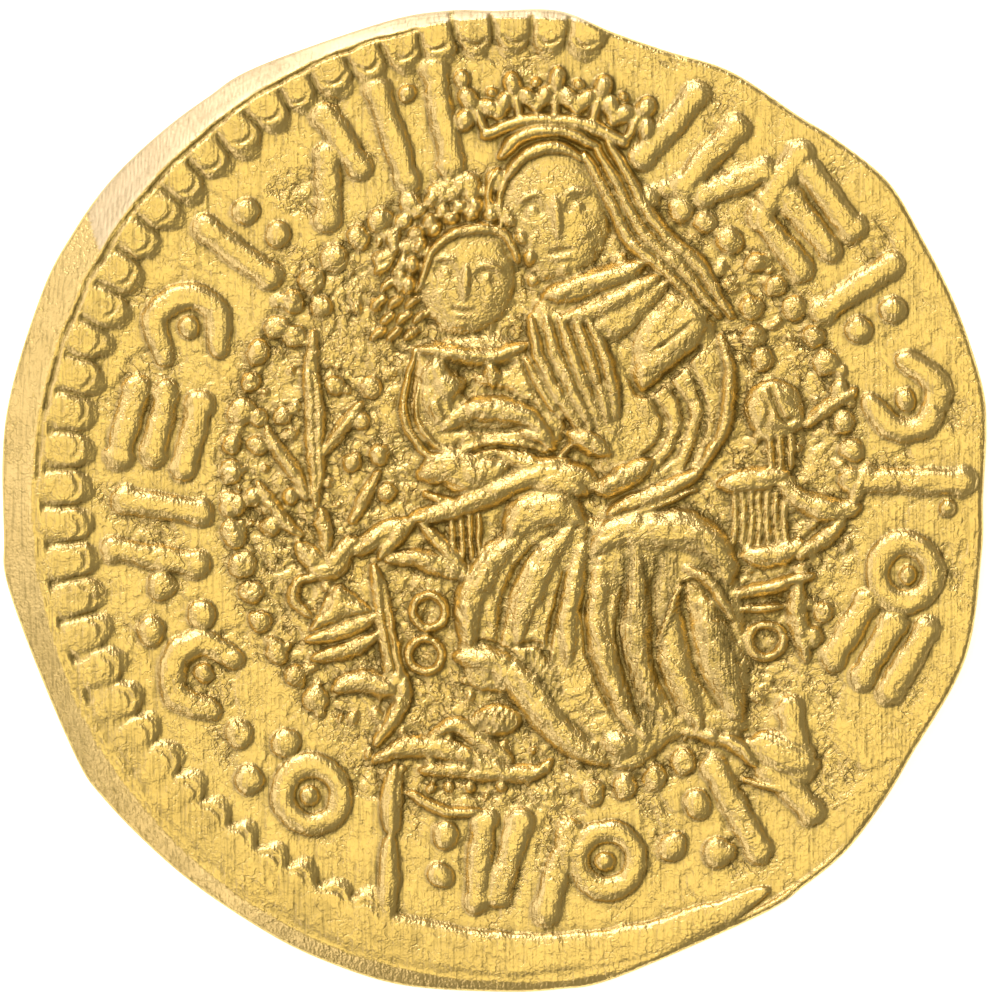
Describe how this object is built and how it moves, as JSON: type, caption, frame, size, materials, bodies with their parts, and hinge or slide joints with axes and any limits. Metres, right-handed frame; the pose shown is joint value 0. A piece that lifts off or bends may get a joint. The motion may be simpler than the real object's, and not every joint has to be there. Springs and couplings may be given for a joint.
{
  "type": "gold coin",
  "caption": "Small struck gold coin with an enthroned mother and child in a ring of pearls, lying on its back.",
  "frame": {"origin": "middle of the coin's extent, on the flat rim of the reverse that it lies on", "axes": "+Z out of the face with the figures, +Y towards the crown, +X to the right of it"},
  "size_m": [0.021, 0.021, 0.0009],
  "materials": {
    "gold": "struck gold, bright, softly worn, with fine die marks"
  },
  "bodies": {
    "root": {"coin": "gold"}
  },
  "joints": []
}
